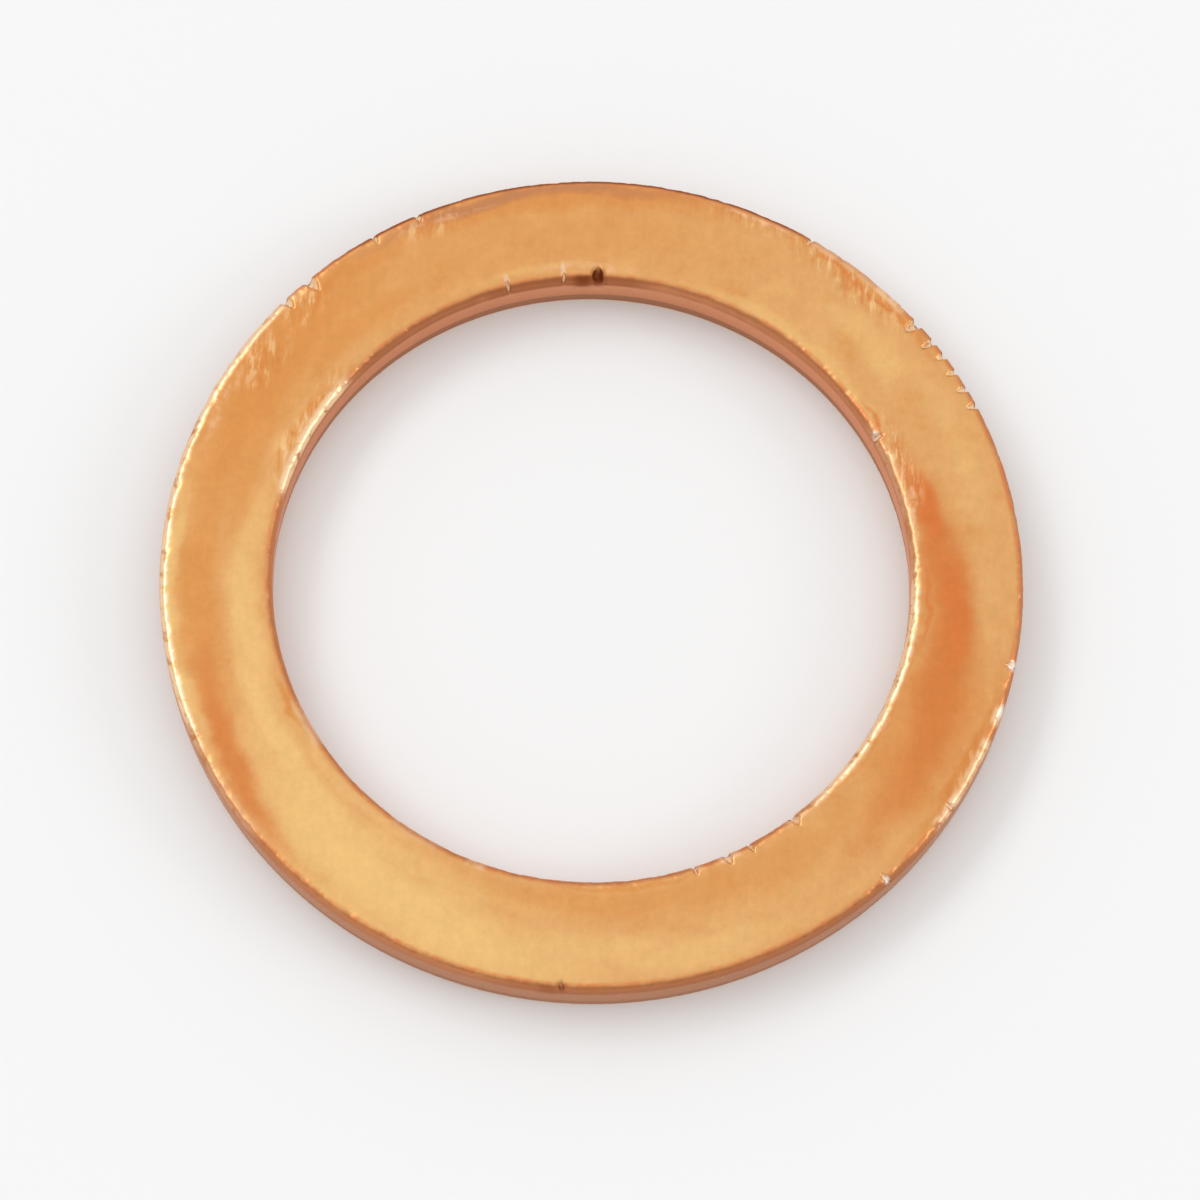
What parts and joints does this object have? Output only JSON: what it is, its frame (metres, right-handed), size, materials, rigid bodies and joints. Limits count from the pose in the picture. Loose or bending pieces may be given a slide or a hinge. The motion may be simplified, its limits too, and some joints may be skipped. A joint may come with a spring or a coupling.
{
  "type": "drain plug washer",
  "caption": "Flat copper ring washer with a plain round bore and lightly rolled edges, crushed under the head of a drain plug to seal it.",
  "frame": {"origin": "centre of the ring on the plane that its bottom face lies on", "axes": "+Z along the axis of the bore, up out of the face with the rolled-over edges; +X and +Y lie in the bottom face, and the near side of the picture is -Y"},
  "size_m": [0.022, 0.022, 0.0015],
  "materials": {
    "copper": null
  },
  "bodies": {
    "root": {"washer": "copper"}
  },
  "joints": []
}
